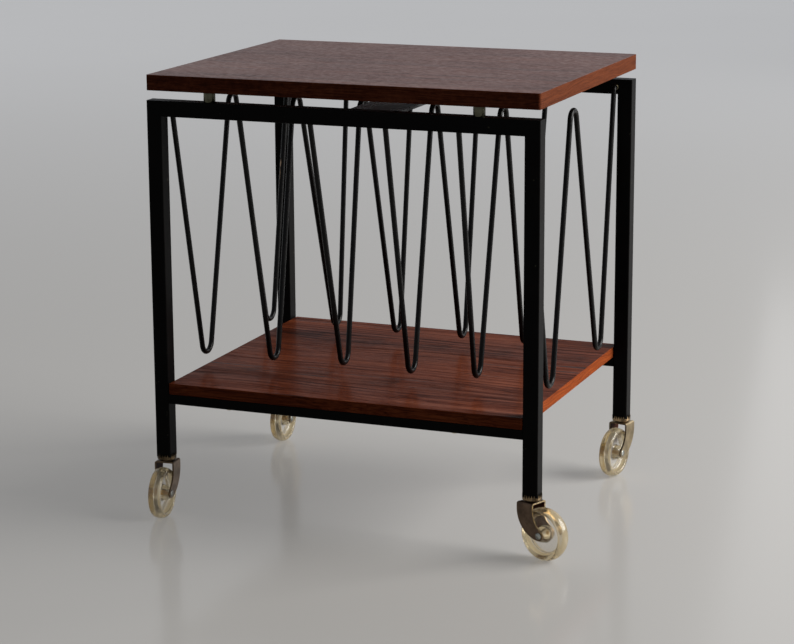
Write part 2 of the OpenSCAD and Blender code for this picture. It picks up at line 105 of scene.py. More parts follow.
class RackWood(bpy.types.PropertyGroup):
    """Looks of the two teak boards."""

    top_light: colour("Top light tone", "Light tone of the top board's grain", (0.240, 0.072, 0.034))
    top_mid: colour("Top middle tone", "Middle tone of the top board's grain", (0.135, 0.034, 0.016))
    top_dark: colour("Top dark tone", "Dark tone of the top board's grain", (0.045, 0.012, 0.007))
    shelf_light: colour("Shelf light tone", "Light tone of the shelf's grain", (0.320, 0.082, 0.030))
    shelf_mid: colour("Shelf middle tone", "Middle tone of the shelf's grain", (0.160, 0.034, 0.013))
    shelf_dark: colour("Shelf dark tone", "Dark tone of the shelf's grain", (0.035, 0.009, 0.005))
    top_end: colour("Top end tone", "Light tone of the top board's end grain", (0.165, 0.047, 0.020))
    shelf_end: colour("Shelf end tone", "Light tone of the shelf's end grain", (0.400, 0.086, 0.020))
    roughness: share("Roughness", "Roughness of the bare wood", 0.50)
    top_polish: share("Top polish", "Roughness of the oil polish on the top board's upper face", 0.33)
    shelf_polish: share("Shelf polish", "Roughness of the oil polish on the shelf's upper face", 0.22)
    top_sheen: share("Top sheen", "Strength of the oil polish on the top board", 0.88)
    shelf_sheen: share("Shelf sheen", "Strength of the oil polish on the shelf", 0.18)


class RackSteel(bpy.types.PropertyGroup):
    """Looks of the lacquered steel frame."""

    lacquer: colour("Lacquer", "Colour of the black lacquer", (0.0052, 0.0048, 0.0047))
    lacquer_roughness: share("Lacquer roughness", "Roughness of the lacquer on the tubes", 0.34)
    wire_roughness: share("Wire roughness", "Roughness of the lacquer on the wires", 0.26)


class RackWire(bpy.types.PropertyGroup):
    """Sizes of the bent wire dividers."""

    diameter: length("Wire diameter", "Diameter of the wire", 6.0)
    lift: length("Lift", "Free height between the lower bends and the shelf", 10.5)
    bend: length("Bend radius", "Middle radius of the lower bends", 12.0)
    peak_bend: length("Peak radius", "Middle radius of the peak", 11.0)
    front_bend: length("Front bend", "Distance of the front lower bend from the front rail", 85.0)
    back_bend: length("Back bend", "Distance of the back lower bend from the back rail", 61.5)
    peak_rise: length("Peak rise", "Height of the free peak above the underside of the top rails", 5.8)
    end_bend: length("End bend", "Middle radius of the short bend at each brazed end", 4.5)
    stub: length("End stub", "Straight wire between a brazed end and its bend", 1.2)
    collar: length("Braze diameter", "Diameter of the brazed collar round each end", 8.0)
    collar_width: length("Braze width", "Width of the brazed collar", 1.2)
    inset: length("Inset", "Distance of the outer dividers' even place from the legs", 4.2)
    facets: IntProperty(name="Facets", description="Facets round the wire", default=16, min=6, max=48)


class RackCaster(bpy.types.PropertyGroup):
    """Sizes and colours of the casters."""

    wheel_width: length("Wheel width", "Width of the wheel's rim", 14.5)
    rim: length("Rim", "Radial thickness of the wheel's rim", 6.5)
    web: length("Web", "Thickness of the wheel's web", 2.6)
    hub: length("Hub", "Largest diameter of the wheel's hub", 17.0)
    hub_end: length("Hub end", "Diameter of the hub at its ends", 9.0)
    fork_width: length("Fork width", "Width of the fork over its arms", 22.8)
    fork_sheet: length("Fork sheet", "Thickness of the fork's sheet metal", 1.8)
    fold: length("Fold", "Outer radius of the fold between the plate and each arm", 2.6)
    front: length("Front reach", "Reach of the plate ahead of the swivel axis", 12.0)
    back: length("Back reach", "Reach of the plate behind the swivel axis", 9.3)
    cheek: length("Cheek", "Height of the straight upper part of each arm", 7.5)
    arm_end: length("Arm end", "Radius of the rounded end of each arm", 5.6)
    brow: length("Brow", "Radius of the upper front corner of each arm", 3.0)
    rivet: length("Rivet", "Diameter of the axle's riveted heads", 7.5)
    rivet_height: length("Rivet height", "Height of the axle's riveted heads", 1.3)
    teeth: IntProperty(name="Teeth", description="Number of teeth of the crown", default=24, min=8, max=48)
    plastic: colour("Plastic", "Tint of the clear wheels", (0.87, 0.73, 0.47))
    brass: colour("Brass", "Colour of the brass sockets", (0.40, 0.285, 0.165))
    # The forks' colours carry painted light: the front forks are darkened as painted shade, and the back
    # forks are paler as painted light. The front right fork's lighter edges are worn edges with a painted
    # highlight.
    left_fork_shaded: colour("Front left fork", "Colour of its bronzed steel", (0.22, 0.155, 0.105))
    right_fork_shaded: colour("Front right fork", "Colour of its dark bronzed steel", (0.13, 0.088, 0.060))
    back_fork_lit: colour("Back forks", "Colour of their paler bronzed steel", (0.42, 0.33, 0.20))
    bright_rim_highlit: colour("Bright fork edge", "Colour of the front right fork's worn edges", (0.30, 0.225, 0.13))
    dull_rim: colour("Dull fork edge", "Colour of the other forks' edges", (0.10, 0.068, 0.042))


class RackStage(bpy.types.PropertyGroup):
    """Tones and lights of the plain studio."""

    floor: colour("Floor", "Colour of the pale floor round the rack", (0.40, 0.39, 0.375))
    far_floor: colour("Far floor", "Colour of the floor far behind the rack", (0.65, 0.65, 0.655))
    floor_glow: share("Floor glow", "Share of the floor's tone that doesn't come from the lamps", 0.42)
    backdrop: colour("Backdrop", "Colour of the sky where it is seen or mirrored", (0.34, 0.35, 0.37))
    key: FloatProperty(name="Key light", description="Power of the large soft light", default=130.0, min=0.0,
                       unit="POWER")
    glow: FloatProperty(name="Back panel", description="Power of the dim panel behind the rack", default=9.0,
                        min=0.0, unit="POWER")
    fill: FloatProperty(name="Sky", description="Strength of the plain sky", default=0.07, min=0.0)


GROUPS = {
    "rack_wood": RackWood,
    "rack_steel": RackSteel,
    "rack_wire": RackWire,
    "rack_caster": RackCaster,
    "rack_stage": RackStage,
}


# Node building


class Link:
    """An output socket that takes part in arithmetic."""

    def __init__(self, graph, socket):
        self.graph = graph
        self.socket = socket

    def _math(self, operation, *values):
        return self.graph.node("ShaderNodeMath", {"operation": operation}, dict(enumerate(values)))

    def __add__(self, other):
        return self._math("ADD", self, other)

    def __radd__(self, other):
        return self._math("ADD", other, self)

    def __sub__(self, other):
        return self._math("SUBTRACT", self, other)

    def __rsub__(self, other):
        return self._math("SUBTRACT", other, self)

    def __mul__(self, other):
        return self._math("MULTIPLY", self, other)

    def __rmul__(self, other):
        return self._math("MULTIPLY", other, self)

    def __truediv__(self, other):
        return self._math("DIVIDE", self, other)

    def absolute(self):
        """Without its sign."""
        return self._math("ABSOLUTE", self)

    def larger(self, other):
        """The larger of two numbers."""
        return self._math("MAXIMUM", self, other)

    def swing(self, amount):
        """From 0 to 1 turned into minus to plus half the amount."""
        return (self - 0.5) * amount

    def smooth(self, low, high):
        """0 below low, 1 above high, and a smooth step between them."""
        settings = {"interpolation_type": "SMOOTHSTEP"}
        values = {"Value": self, "From Min": low, "From Max": high}
        return self.graph.node("ShaderNodeMapRange", settings, values)


class Graph:
    """Adds nodes to a node tree."""

    def __init__(self, tree):
        self.tree = tree

    def node(self, kind, settings=None, values=None, output=0):
        """Adds a node: its settings first, then the values or links of its sockets."""
        made = self.tree.nodes.new(kind)
        for key, value in (settings or {}).items():
            if key == "stops":
                set_stops(made.color_ramp, value)
            else:
                setattr(made, key, value)
        for key, value in (values or {}).items():
            if isinstance(value, Link):
                self.tree.links.new(value.socket, made.inputs[key])
            else:
                made.inputs[key].default_value = value
        return None if output is None else Link(self, made.outputs[output])


class Shader(Graph):
    """Builds the nodes of one material."""

    def __init__(self, name):
        self.material = bpy.data.materials.new(name)
        self.material.use_nodes = True
        super().__init__(self.material.node_tree)
        self.tree.nodes.clear()

    def coordinates(self):
        """Object coordinates of the shaded point, in metres."""
        return self.node("ShaderNodeTexCoord", output="Object")

    def facing(self):
        """Direction in which the shaded face looks."""
        return self.node("ShaderNodeNewGeometry", output="Normal")

    def part(self, vector, axis):
        """One number of a vector."""
        return self.node("ShaderNodeSeparateXYZ", None, {"Vector": vector}, output=axis)

    def noise(self, vector, scale, detail=2.0, roughness=0.5):
        """Soft noise about 0.5. A scale of three numbers gives each axis its own."""
        if isinstance(scale, tuple):
            vector = self.node("ShaderNodeMapping", None, {"Vector": vector, "Scale": scale})
            scale = 1.0
        values = {"Vector": vector, "Scale": scale, "Detail": detail, "Roughness": roughness}
        return self.node("ShaderNodeTexNoise", None, values)

    def mix(self, factor, first, second):
        """Colour between two colours."""
        values = {0: factor, 6: as_colour(first), 7: as_colour(second)}
        return self.node("ShaderNodeMix", {"data_type": "RGBA"}, values, output=2)

    def ramp(self, factor, stops):
        """Colour ramp; stops are (position, colour) pairs."""
        return self.node("ShaderNodeValToRGB", {"stops": stops}, {"Fac": factor})

    def bump(self, height, strength, distance):
        """Normal of a surface that this height roughens."""
        values = {"Height": height, "Strength": strength, "Distance": distance}
        return self.node("ShaderNodeBump", None, values, output="Normal")

    def mark(self, name):
        """A mark that the mesh carries, from 0 to 1."""
        return self.node("ShaderNodeAttribute", {"attribute_name": name}, output="Fac")

    def finish(self, **values):
        """Ends the material in a Principled surface with these sockets."""
        sockets = {name.replace("_", " "): value for name, value in values.items()}
        surface = self.node("ShaderNodeBsdfPrincipled", None, sockets)
        self.node("ShaderNodeOutputMaterial", None, {"Surface": surface}, output=None)
        return self.material


def as_colour(value):
    """Three numbers as a colour with full alpha; links stay as they are."""
    return value if isinstance(value, Link) else (*value[:3], 1.0)


def toned(colour, factor, lift=0.0):
    """A colour with each part times a factor, plus a lift."""
    return [factor * part + lift for part in colour]


def set_stops(ramp, stops):
    """Gives a colour ramp these (position, colour) stops."""
    while len(ramp.elements) < len(stops):
        ramp.elements.new(1.0)
    for element, (position, colour) in zip(ramp.elements, stops):
        element.position = position
        element.color = as_colour(colour)


# Finishes


def teak(name, wood, tone, end_tone, streaks, mottle, sheen, polish):
    """Oiled teak with its grain along X. Streaks and mottle say how bold its figure is."""
    shader = Shader(name)
    point = shader.coordinates()
    facing = shader.facing()
    end_face = shader.part(facing, "X").absolute().smooth(0.6, 0.8)
    long_edge = shader.part(facing, "Y").absolute().smooth(0.6, 0.8)
    upper_face = shader.part(facing, "Z").smooth(0.7, 0.95)
    # The grain wanders sideways and up a little as it runs along the board
    wander = shader.noise(point, (2.2, 7.0, 7.0))
    shift = shader.node("ShaderNodeCombineXYZ", None, {"Y": wander.swing(0.07), "Z": wander.swing(0.03)})
    wavy = shader.node("ShaderNodeVectorMath", {"operation": "ADD"}, {0: point, 1: shift})
    broad = shader.noise(wavy, (1.7, 30.0, 30.0), detail=3.0, roughness=0.6)
    bands = shader.noise(wavy, (2.2, 150.0, 150.0), detail=4.0, roughness=0.62)
    fibre = shader.noise(wavy, (12.0, 640.0, 640.0), detail=3.0, roughness=0.65)
    pores = shader.noise(wavy, (60.0, 1300.0, 1300.0), detail=1.0).smooth(0.56, 0.70)
    flecks = shader.noise(wavy, (140.0, 170.0, 170.0), detail=3.0, roughness=0.7)
    rings = shader.noise(wavy, (60.0, 22.0, 1300.0), detail=3.0, roughness=0.6)
    patches = shader.noise(point, 6.0)
    # The figure is calmer on the long edges, and the ends show rings instead
    bold = streaks - long_edge * (0.6 * streaks)
    dark_lines = bands.smooth(0.57, 0.64) * broad.smooth(0.44, 0.60)
    figure = broad * 0.35 + bands * 0.65
    depth = figure.swing(bold) + 0.52 + fibre.swing(0.8) + patches.swing(0.35) + flecks.swing(0.5 * mottle)
    along = shader.ramp(depth - dark_lines * bold * 0.28, tone)
    shade = shader.mix(end_face, along, shader.ramp(rings, end_tone))
    shade = shader.mix(pores * 0.5, shade, (0.020, 0.006, 0.004))
    rough = wood.roughness + fibre.swing(0.22) + pores * 0.18
    normal = shader.bump(fibre * 0.5 - pores * 0.7, 0.30, 0.00025)
    # The oil polish lies on the upper face alone, unevenly as the wood took it
    oil = sheen + fibre.swing(0.5) + bands.swing(1.0 - 0.6 * mottle) + flecks.swing(1.7 * mottle)
    oil = oil + patches.swing(0.5 * mottle)
    return shader.finish(Base_Color=shade, Roughness=rough, Normal=normal, Specular_IOR_Level=0.012,
                         Coat_Weight=upper_face * oil * 0.95, Coat_Roughness=polish)


def lacquer(name, colour, roughness, gloss):
    """Black stoving lacquer: faint orange peel, a little dust, and small chips."""
    shader = Shader(name)
    point = shader.coordinates()
    peel = shader.noise(point, 420.0)
    cloud = shader.noise(point, 28.0, detail=3.0)
    chips = shader.noise(point, 150.0, detail=1.0).smooth(0.78, 0.80)
    shade = shader.mix(cloud.smooth(0.45, 0.75) * 0.5, colour, toned(colour, 2.0, 0.001))
    shade = shader.mix(chips, shade, (0.05, 0.048, 0.036))
    rough = roughness + cloud.swing(0.16) + chips * 0.2
    return shader.finish(Base_Color=shade, Roughness=rough, Normal=shader.bump(peel, 0.10, 0.0002),
                         Specular_IOR_Level=gloss)


def metal(name, colour, dark, roughness, blotch=30.0, rim=None, patina=0.0):
    """Worn metal with blotches of tarnish, worn edges where rim is given, and a dull patina from 0 to 1."""
    shader = Shader(name)
    point = shader.coordinates()
    tarnish = shader.noise(point, blotch, detail=4.0, roughness=0.6)
    speckle = shader.noise(point, 900.0)
    shade = shader.mix(tarnish.smooth(0.35, 0.7), colour, dark)
    rough = roughness + tarnish.swing(0.25) + speckle.swing(0.12)
    if rim is not None:
        worn = (shader.mark("rim") * (0.6 + tarnish * 0.8)).smooth(0.3, 0.9)
        shade = shader.mix(worn, shade, rim)
        rough = rough - worn * 0.12
    return shader.finish(Base_Color=shade, Metallic=1.0 - patina, Roughness=rough,
                         Specular_IOR_Level=0.5 - 0.45 * patina, Normal=shader.bump(speckle, 0.12, 0.00015))


def clear_amber(name, colour):
    """Aged clear plastic with fine scuffs, paler and smoother where it is marked as the thin web."""
    shader = Shader(name)
    point = shader.coordinates()
    scuff = shader.noise(point, 260.0, detail=4.0, roughness=0.7)
    thin = shader.mark("web")
    rough = 0.13 + scuff.smooth(0.45, 0.8) * 0.12 - thin * 0.06
    tint = shader.mix(thin, colour, toned(colour, 0.25, 0.75))
    normal = shader.bump(shader.noise(point, 120.0), 0.06, 0.0004)
    return shader.finish(Base_Color=tint, Roughness=rough, IOR=1.5, Transmission_Weight=0.86, Normal=normal,
                         Specular_IOR_Level=0.35, Coat_Weight=0.06, Coat_Roughness=0.1)


def matt_plastic(name, colour):
    """Plain moulded plastic with a fine grain."""
    shader = Shader(name)
    grain = shader.noise(shader.coordinates(), 700.0)
    return shader.finish(Base_Color=as_colour(colour), Roughness=0.6 + grain.swing(0.2),
                         Normal=shader.bump(grain, 0.1, 0.0002))


def wire_lacquer(name, colour, roughness):
    """Dipped black lacquer on wire, with brass at the brazed ends and one painted highlight."""
    shader = Shader(name)
    point = shader.coordinates()
    peel = shader.noise(point, 700.0)
    cloud = shader.noise(point, 60.0, detail=3.0)
    braze = (shader.mark("braze") + cloud.swing(0.5)).smooth(0.15, 0.55)
    chips = shader.noise(point, 210.0, detail=1.0).smooth(0.80, 0.82)
    # A painted highlight lies on the leftmost wire's last run, as a thin light stripe on its side that faces
    # left and forwards
    x, y, z = (shader.part(point, axis) for axis in "XYZ")
    facing = shader.facing()
    left_front = shader.part(facing, "X") * -0.35 - shader.part(facing, "Y") * 0.94
    height = z.smooth(0.327, 0.334) - z.smooth(0.354, 0.362)
    leftmost = (0.0 - x).smooth(0.190, 0.195)
    behind = y.smooth(0.10, 0.11)
    painted_glint = height * leftmost * behind * (left_front + cloud.swing(0.25)).smooth(0.93, 0.99)
    shade = shader.mix(cloud.smooth(0.45, 0.75) * 0.5, colour, toned(colour, 2.0, 0.001))
    shade = shader.mix(chips, shade, (0.10, 0.09, 0.07))
    shade = shader.mix(painted_glint, shade, (0.62, 0.42, 0.26))
    shade = shader.mix(braze, shade, (0.085, 0.075, 0.045))
    rough = roughness + cloud.swing(0.2)
    return shader.finish(Base_Color=shade, Metallic=braze.larger(painted_glint) * 0.9, Roughness=rough,
                         Normal=shader.bump(peel, 0.14, 0.0002), Specular_IOR_Level=0.14)


# Mesh building


def dress(names, material):
    """Gives fixed frame nodes their finish."""
    for name in names:
        mesh = frame["nodes"][name].data
        mesh.materials.clear()
        mesh.materials.append(material)


def add_object(name, data):
    """Puts an object in the scene."""
    added = bpy.data.objects.new(name, data)
    bpy.context.scene.collection.objects.link(added)
    return added


def make_piece(name, mesh, body, node, material=None):
    """Puts a finished mesh in the scene as a piece that rides on a body and stands for a frame node."""
    piece = add_object(name, mesh)
    if material:
        mesh.materials.clear()
        mesh.materials.append(material)
    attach(piece, body)
    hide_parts(node)


def plain_mesh(shape, name):
    """Turns a bmesh into a mesh as it is."""
    mesh = bpy.data.meshes.new(name)
    shape.to_mesh(mesh)
    shape.free()
    return mesh


def smoothed(mesh, sharp_degrees):
    """Shades a mesh smooth, with its edges past an angle kept sharp."""
    mesh.shade_smooth()
    mesh.set_sharp_from_angle(angle=math.radians(sharp_degrees))
    return mesh


def turned_mesh(shape, name, sharp_degrees=35.0):
    """Turns a lathed bmesh into a smooth mesh without doubles, whose faces point outwards."""
    bmesh.ops.remove_doubles(shape, verts=shape.verts, dist=1e-7)
    bmesh.ops.recalc_face_normals(shape, faces=shape.faces)
    return smoothed(plain_mesh(shape, name), sharp_degrees)


def placed(mesh, place):
    """A copy of a mesh moved to its place."""
    moved = mesh.copy()
    moved.transform(place)
    return moved


def lathe(shape, profile, steps=96, closed=False):
    """Adds a surface turned about Z through (radius, height) points."""
    rings = []
    for radius, height in profile:
        if radius < 1e-7:
            rings.append([shape.verts.new((0.0, 0.0, height))])
        else:
            turns = (math.tau * step / steps for step in range(steps))
            circle = [(radius * math.cos(a), radius * math.sin(a), height) for a in turns]
            rings.append([shape.verts.new(point) for point in circle])
    followers = rings[1:] + (rings[:1] if closed else [])
    for first, second in zip(rings, followers):
        for step in range(steps):
            corners = []
            for ring, at in ((first, step), (first, step + 1), (second, step + 1), (second, step)):
                vert = ring[at % len(ring)]
                if vert not in corners:
                    corners.append(vert)
            if len(corners) > 2:
                shape.faces.new(corners)


def arc(centre, radius, start, stop, steps, rise=None):
    """Points on an arc between two angles in degrees. Rise is its second radius where it isn't round."""
    rise = radius if rise is None else rise
    angles = (math.radians(start + (stop - start) * step / steps) for step in range(steps + 1))
    return [(centre[0] + radius * math.cos(a), centre[1] + rise * math.sin(a)) for a in angles]


def evaluated_mesh(holder, name):
    """Plain mesh of an object with its modifiers, which are then removed with the object."""
    depsgraph = bpy.context.evaluated_depsgraph_get()
    mesh = bpy.data.meshes.new_from_object(holder.evaluated_get(depsgraph), depsgraph=depsgraph)
    mesh.name = name
    bpy.data.objects.remove(holder)
    return mesh


def through_tree(mesh, tree, values, name):
    """Plain mesh that a Geometry Nodes tree makes from a mesh and named inputs."""
    holder = add_object("holder", mesh)
    modifier = holder.modifiers.new("shape", "NODES")
    modifier.node_group = tree
    for socket in tree.interface.items_tree:
        if socket.in_out == "INPUT" and socket.name in values:
            modifier[socket.identifier] = values[socket.name]
    return evaluated_mesh(holder, name)


class Modelling(Graph):
    """Builds a Geometry Nodes tree with named inputs, which ends in Realize Instances and Set Material."""

    def __init__(self, name, inputs):
        tree = bpy.data.node_groups.new(name, "GeometryNodeTree")
        super().__init__(tree)
        tree.interface.new_socket("Geometry", in_out="INPUT", socket_type="NodeSocketGeometry")
        for label, kind in inputs:
            tree.interface.new_socket(label, in_out="INPUT", socket_type=kind)
        tree.interface.new_socket("Material", in_out="INPUT", socket_type="NodeSocketMaterial")
        tree.interface.new_socket("Geometry", in_out="OUTPUT", socket_type="NodeSocketGeometry")

    def input(self, label):
        """One of the tree's named inputs."""
        return self.node("NodeGroupInput", output=label)

    def attribute(self, name):
        """A number that the mesh carries at each point."""
        return self.node("GeometryNodeInputNamedAttribute", {"data_type": "FLOAT"}, {"Name": name})

    def finish(self, geometry):
        """Ends the tree in one smooth mesh with its material."""
        real = self.node("GeometryNodeRealizeInstances", None, {"Geometry": geometry})
        smooth = self.node("GeometryNodeSetShadeSmooth", None, {"Geometry": real})
        coated = self.node("GeometryNodeSetMaterial", None, {
            "Geometry": smooth, "Material": self.input("Material")})
        self.node("NodeGroupOutput", None, {"Geometry": coated}, output=None)
        return self.tree


# Wire dividers

# How each hand-bent divider, from left to right, differs from an even one, in millimetres: the front
# end sideways; the front lower bend to the right, back and up; the peak sideways; the back lower bend
# to the right, back and up; the back end sideways
WIRE_SHIFTS = [
    (-2.0, (-3.5, -4.5, 1.0), -1.5, (-5.0, 1.5, 0.5), -0.5),
    (-3.0, (-1.0, -1.5, 0.0), -3.0, (0.5, 6.5, 0.5), -4.5),
    (-1.5, (1.0, 5.5, 0.0), -2.5, (0.0, -0.5, 0.5), -3.0),
    (4.0, (3.0, -1.0, -0.5), 3.0, (-0.5, 2.0, 0.0), -0.5),
    (5.5, (-3.0, 2.0, 0.5), 2.5, (-3.5, -1.5, 1.0), 2.0),
    (0.5, (1.5, -2.5, -2.5), 1.0, (3.5, 1.0, 0.0), 1.5),
]


# Rows of the brazed collar, as shares of its width from the rail
COLLAR_ROWS = (0.0, 0.15, 0.35, 0.6, 0.85)
BEND_STEPS = 28


def run_angle(first, second):
    """Direction of the straight wire between two bends, each (y, z, radius, side)."""
    across, up = second[0] - first[0], second[1] - first[1]
    turn = math.asin((second[3] * second[2] - first[3] * first[2]) / math.hypot(across, up))
    return math.atan2(up, across) - turn


def tangent_corner(bend, before, after):
    """Point where the straight runs before and after a bend would cross."""
    y, z, radius, side = bend
    point = Vector((y + side * radius * math.sin(before), z - side * radius * math.cos(before)))
    half = (after - before) / 2
    reach = abs(radius * math.tan(half))
    return point + reach * Vector((math.cos(before), math.sin(before)))


def divider_path(wire, shifts):
    """Corner points of a divider in its own plane, with the radius at which each is bent."""
    rail = node_centre("front_top_rail").z
    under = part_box("front_top_rail")[0].z
    face = -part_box("front_top_rail")[1].y
    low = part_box("shelf_board")[1].z + wire.lift + wire.diameter / 2 + wire.bend
    peak = under + wire.peak_rise - wire.diameter / 2 - wire.peak_bend
    end = face - wire.stub
    front, back = shifts[1], shifts[3]
    bends = [
        (-end, rail - wire.end_bend, wire.end_bend, -1),
        (-face + wire.front_bend + front[1] * MM, low + front[2] * MM, wire.bend, 1),
        (0.0, peak, wire.peak_bend, -1),
        (face - wire.back_bend + back[1] * MM, low + back[2] * MM, wire.bend, 1),
        (end, rail - wire.end_bend, wire.end_bend, -1),
    ]
    angles = [0.0] + [run_angle(a, b) for a, b in zip(bends, bends[1:])] + [0.0]
    corners = [tangent_corner(bend, *pair) for bend, pair in zip(bends, zip(angles, angles[1:]))]
    return face, rail, [(corner, bend[2]) for corner, bend in zip(corners, bends)]


def divider_line(x, wire, shifts):
    """Polyline mesh of one divider, with its bend radius, thickness and braze marks."""
    face, rail, corners = divider_path(wire, shifts)
    places = [x + MM * shift for shift in (shifts[0], shifts[1][0], shifts[2], shifts[3][0], shifts[4])]
    swell = wire.collar / wire.diameter - 1
    ends = []
    for part in COLLAR_ROWS:
        ends.append((face - part * wire.collar_width, 1 + swell * (1 - part) ** 2, 1 - part ** 2))
    rows = [((places[0], -y, rail), 0.0, thick, braze) for y, thick, braze in ends]
    for (corner, radius), place in zip(corners, places):
        rows.append(((place, corner.x, corner.y), radius, 1.0, 0.0))
    rows += [((places[4], y, rail), 0.0, thick, braze) for y, thick, braze in reversed(ends)]
    line = bmesh.new()
    marks = [line.verts.layers.float.new(name) for name in ("bend_radius", "thickness", "braze")]
    verts = []
    for point, *values in rows:
        vert = line.verts.new(point)
        for layer, value in zip(marks, values):
            vert[layer] = value
        verts.append(vert)
    for pair in zip(verts, verts[1:]):
        line.edges.new(pair)
    return plain_mesh(line, "divider_line")


def wire_tree():
    """Rounds the corners of a line and sweeps a round wire along it."""
    tree = Modelling("Bent wire", [("Wire radius", "NodeSocketFloat"), ("Facets", "NodeSocketInt"),
                                   ("Bend steps", "NodeSocketInt")])
    line = tree.node("GeometryNodeMeshToCurve", None, {"Mesh": tree.input("Geometry")})
    bent = tree.node("GeometryNodeFilletCurve", {"mode": "POLY"}, {
        "Curve": line, "Count": tree.input("Bend steps"), "Radius": tree.attribute("bend_radius")})
    section = tree.node("GeometryNodeCurvePrimitiveCircle", None, {
        "Resolution": tree.input("Facets"), "Radius": tree.input("Wire radius")})
    swept = tree.node("GeometryNodeCurveToMesh", None, {
        "Curve": bent, "Profile Curve": section, "Scale": tree.attribute("thickness"), "Fill Caps": True})
    return tree.finish(swept)


# Turned and folded pieces of the casters

# Radii of the holes and of the axle, as the frame's nodes have them
WHEEL_BORE = 3.22 * MM
SOCKET_BORE = 4.0 * MM
WASHER_BORE = 4.05 * MM
SPACER_BORE = 2.25 * MM
AXLE_RADIUS = 2.0 * MM


def caster_place(corner):
    """Places a caster's own frame: its swivel axis on Z and its axle behind it along X."""
    axis = JOINTS[f"wheel_spin_{corner}"]["axis"]
    leg = JOINTS[f"swivel_{corner}"]["pos_m"]
    return Matrix.Translation((leg[0], leg[1], 0.0)) @ Matrix.Rotation(math.atan2(-axis[0], axis[1]), 4, "Z")


def axle_place(corner):
    """Places a piece that is turned about Z on a wheel's axle."""
    axle = JOINTS[f"wheel_spin_{corner}"]["pos_m"]
    turn = caster_place(corner).to_3x3().to_4x4()
    return Matrix.Translation(axle) @ turn @ Matrix.Rotation(math.radians(90), 4, "X")


def trail():
    """Distance from the swivel axis to the axle."""
    axle = Vector(JOINTS["wheel_spin_front_left"]["pos_m"])
    leg = Vector(JOINTS["swivel_front_left"]["pos_m"])
    return (axle - leg).to_2d().length


def wheel_mesh(caster):
    """A wheel with a thick round rim, a thin web and a bulging hub, round its bore."""
    radius = node_size("caster_wheel_front_left").z / 2
    half_width, half_web = caster.wheel_width / 2, caster.web / 2
    hub, hub_end = caster.hub / 2, caster.hub_end / 2
    play = 0.3 * MM
    half_hub = fork_inside(caster) - play
    shoulder = 0.62 * caster.rim
    rim_in = radius - caster.rim
    edge_drop = 1.6 * MM
    edge = half_width - edge_drop
    dish = 2.8 * MM
    fillet = 1.2 * MM
    foot = half_web + fillet
    # Half of the section, from the running face over rim, web and hub to the hub's end
    half = arc((radius - shoulder, 0.0), shoulder, 0, 90, 12, half_width)
    half += arc((radius - shoulder, edge), caster.rim - shoulder, 90, 180, 6, edge_drop)[1:]
    half += arc((rim_in - dish, edge), dish, 0, -90, 6, edge - half_web)[1:]
    half += arc((hub + fillet, foot), fillet, 270, 180, 6)[:-1]
    half += arc((hub_end, foot), hub - hub_end, 0, 90, 10, half_hub - foot)
    bore = [(WHEEL_BORE, half_hub), (WHEEL_BORE, -half_hub)]
    shape = bmesh.new()
    lathe(shape, half + bore + [(r, -h) for r, h in reversed(half[1:])], steps=128, closed=True)
    web = shape.verts.layers.float.new("web")
    margin = 0.5 * MM
    for vert in shape.verts:
        inside = hub + margin < vert.co.to_2d().length < rim_in
        vert[web] = 1.0 if inside and abs(vert.co.z) < half_web + margin else 0.0
    return turned_mesh(shape, "caster_wheel", sharp_degrees=40.0)


def fork_inside(caster):
    """Distance from the middle of the fork to the inner face of an arm."""
    return caster.fork_width / 2 - caster.fork_sheet


def fork_edges(caster, height, top, axle_height):
    """Front and back edge of the fork's arm at a height.

    Below the cheek, each edge is one arc that ends without a corner at the arm's rounded end:
    the front edge bulges with the radius outer, and the back edge is hollow with the radius inner.
    """
    reach = trail()
    bend_height = top - caster.cheek
    rise = bend_height - axle_height
    end = caster.arm_end
    outer = ((caster.front + reach) ** 2 + rise ** 2 - end ** 2) / (2 * (caster.front + reach - end))
    inner = ((caster.back - reach) ** 2 + rise ** 2 - end ** 2) / (2 * (end + reach - caster.back))
    outer_x, inner_x = outer - caster.front, inner + caster.back
    outer_turn = math.atan2(-rise, reach - outer_x)
    inner_turn = math.atan2(-rise, reach - inner_x)
    fall = height - bend_height
    round_end = math.sqrt(max(end ** 2 - (height - axle_height) ** 2, 0.0))
    if height > top - caster.brow:
        up = min(height - top + caster.brow, caster.brow)
        first = caster.brow - caster.front - math.sqrt(max(caster.brow ** 2 - up ** 2, 0.0))
    elif fall > 0:
        first = -caster.front
    elif height > axle_height + end * math.sin(outer_turn):
        first = outer_x - math.sqrt(outer ** 2 - fall ** 2)
    else:
        first = reach - round_end
    if fall > 0:
        last = caster.back
    elif height > axle_height - end * math.sin(inner_turn):
        last = inner_x - math.sqrt(inner ** 2 - fall ** 2)
    else:
        last = reach + round_end
    return first, last


def fork_path(caster, top, axle_height):
    """The folded sheet from the end of one arm over the plate to the end of the other, as (y, z) points."""
    half = caster.fork_width / 2
    foot = axle_height - caster.arm_end
    flat, fold = half - caster.fold, top - caster.fold
    round_steps, arm_steps, plate_steps = 8, 20, 4
    turns = (math.radians(90 * step / round_steps) for step in range(round_steps + 1))
    path = [(half, foot + caster.arm_end * (1 - math.cos(turn))) for turn in turns]
    rise = fold - axle_height
    path += [(half, axle_height + rise * step / arm_steps) for step in range(1, arm_steps + 1)]
    path += arc((flat, fold), caster.fold, 0, 90, round_steps)[1:]
    path += [(flat * (1 - step / plate_steps), top) for step in range(1, plate_steps + 1)]
    return path + [(-y, z) for y, z in reversed(path[:-1])]


